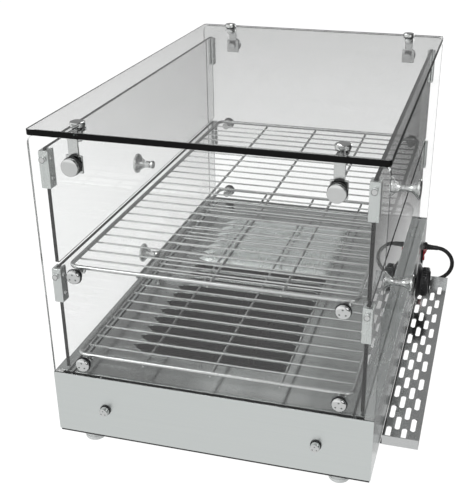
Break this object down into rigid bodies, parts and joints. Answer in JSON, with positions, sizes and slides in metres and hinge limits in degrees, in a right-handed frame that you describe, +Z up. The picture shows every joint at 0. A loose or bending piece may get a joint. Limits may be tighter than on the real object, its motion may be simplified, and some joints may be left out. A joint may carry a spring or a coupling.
{
  "type": "hot food display case",
  "caption": "Countertop heated glass display case with wire racks, outward-lifting flaps on both long sides, a louvred warm deck and a perforated operator shelf.",
  "frame": {"origin": "centre of the footprint of the case, shelf and flap knobs, on the counter under the feet", "axes": "+X along the case towards the end where the cord leaves it, -Y towards the operator, +Z up"},
  "size_m": [0.6566, 0.405, 0.368],
  "materials": {
    "brushed_steel": "brushed stainless sheet, satin",
    "polished_steel": "polished stainless",
    "rack_wire": "bright plated wire",
    "clear_glass": "clear float glass, polished edges",
    "black_steel": "black, matte",
    "black_plastic": "fine textured moulding",
    "red_plastic": "translucent red rocker",
    "heater_alloy": "heat-darkened sheath",
    "foot_rubber": "pale, cloudy soft rubber",
    "cord_rubber": "smooth cable sheath"
  },
  "bodies": {
    "case": {"base_bottom_cover": "black_steel", "base_shell": "brushed_steel", "cord_coil": "cord_rubber", "cord_gland": "black_plastic", "deck_plate": "brushed_steel", "end_glass_far": "clear_glass", "end_glass_near": "clear_glass", "foot_1": "foot_rubber", "foot_2": "foot_rubber", "foot_3": "foot_rubber", "foot_4": "foot_rubber", "heating_element": "heater_alloy", "hinge_pin_lower_far_customer": "polished_steel", "hinge_pin_lower_far_operator": "polished_steel", "hinge_pin_lower_near_customer": "polished_steel", "hinge_pin_lower_near_operator": "polished_steel", "hinge_pin_upper_far_customer": "polished_steel", "hinge_pin_upper_far_operator": "polished_steel", "hinge_pin_upper_near_customer": "polished_steel", "hinge_pin_upper_near_operator": "polished_steel", "operator_shelf": "polished_steel", "plug": "black_plastic", "power_cord": "cord_rubber", "rack_lower": "rack_wire", "rack_stud_lower_far_customer": "polished_steel", "rack_stud_lower_far_operator": "polished_steel", "rack_stud_lower_near_customer": "polished_steel", "rack_stud_lower_near_operator": "polished_steel", "rack_stud_upper_far_customer": "polished_steel", "rack_stud_upper_far_operator": "polished_steel", "rack_stud_upper_near_customer": "polished_steel", "rack_stud_upper_near_operator": "polished_steel", "rack_upper": "rack_wire", "switch_body": "black_plastic", "thermostat_body": "black_plastic", "top_clamp_far_customer": "polished_steel", "top_clamp_far_operator": "polished_steel", "top_clamp_near_customer": "polished_steel", "top_clamp_near_operator": "polished_steel", "top_glass": "clear_glass"},
    "upper_customer_flap": {"flap_glass_upper_customer": "clear_glass", "flap_knob_upper_customer": "polished_steel", "hinge_clamp_upper_customer_far": "polished_steel", "hinge_clamp_upper_customer_near": "polished_steel"},
    "lower_customer_flap": {"flap_glass_lower_customer": "clear_glass", "flap_knob_lower_customer": "polished_steel", "hinge_clamp_lower_customer_far": "polished_steel", "hinge_clamp_lower_customer_near": "polished_steel"},
    "upper_operator_flap": {"flap_glass_upper_operator": "clear_glass", "flap_knob_upper_operator": "polished_steel", "hinge_clamp_upper_operator_far": "polished_steel", "hinge_clamp_upper_operator_near": "polished_steel"},
    "lower_operator_flap": {"flap_glass_lower_operator": "clear_glass", "flap_knob_lower_operator": "polished_steel", "hinge_clamp_lower_operator_far": "polished_steel", "hinge_clamp_lower_operator_near": "polished_steel"},
    "thermostat_knob": {"thermostat_knob": "black_plastic"},
    "switch_rocker": {"switch_rocker": "red_plastic"}
  },
  "joints": [
    {"name": "upper_customer_flap_hinge", "type": "hinge", "parent": "case", "child": "upper_customer_flap", "pos_m": [0, 0.18025, 0.3315], "axis": [1, 0, 0], "range_deg": [0, 88]},
    {"name": "lower_customer_flap_hinge", "type": "hinge", "parent": "case", "child": "lower_customer_flap", "pos_m": [0, 0.18025, 0.2045], "axis": [1, 0, 0], "range_deg": [0, 88]},
    {"name": "upper_operator_flap_hinge", "type": "hinge", "parent": "case", "child": "upper_operator_flap", "pos_m": [0, -0.14275, 0.3315], "axis": [-1, 0, 0], "range_deg": [0, 88]},
    {"name": "lower_operator_flap_hinge", "type": "hinge", "parent": "case", "child": "lower_operator_flap", "pos_m": [0, -0.14275, 0.2045], "axis": [-1, 0, 0], "range_deg": [0, 88]},
    {"name": "thermostat_turn", "type": "hinge", "parent": "case", "child": "thermostat_knob", "pos_m": [0.13, -0.15625, 0.0495], "axis": [0, -1, 0], "range_deg": [0, 270]},
    {"name": "switch_rock", "type": "hinge", "parent": "case", "child": "switch_rocker", "pos_m": [0.213, -0.15625, 0.052], "axis": [-1, 0, 0], "range_deg": [0, 13]}
  ]
}
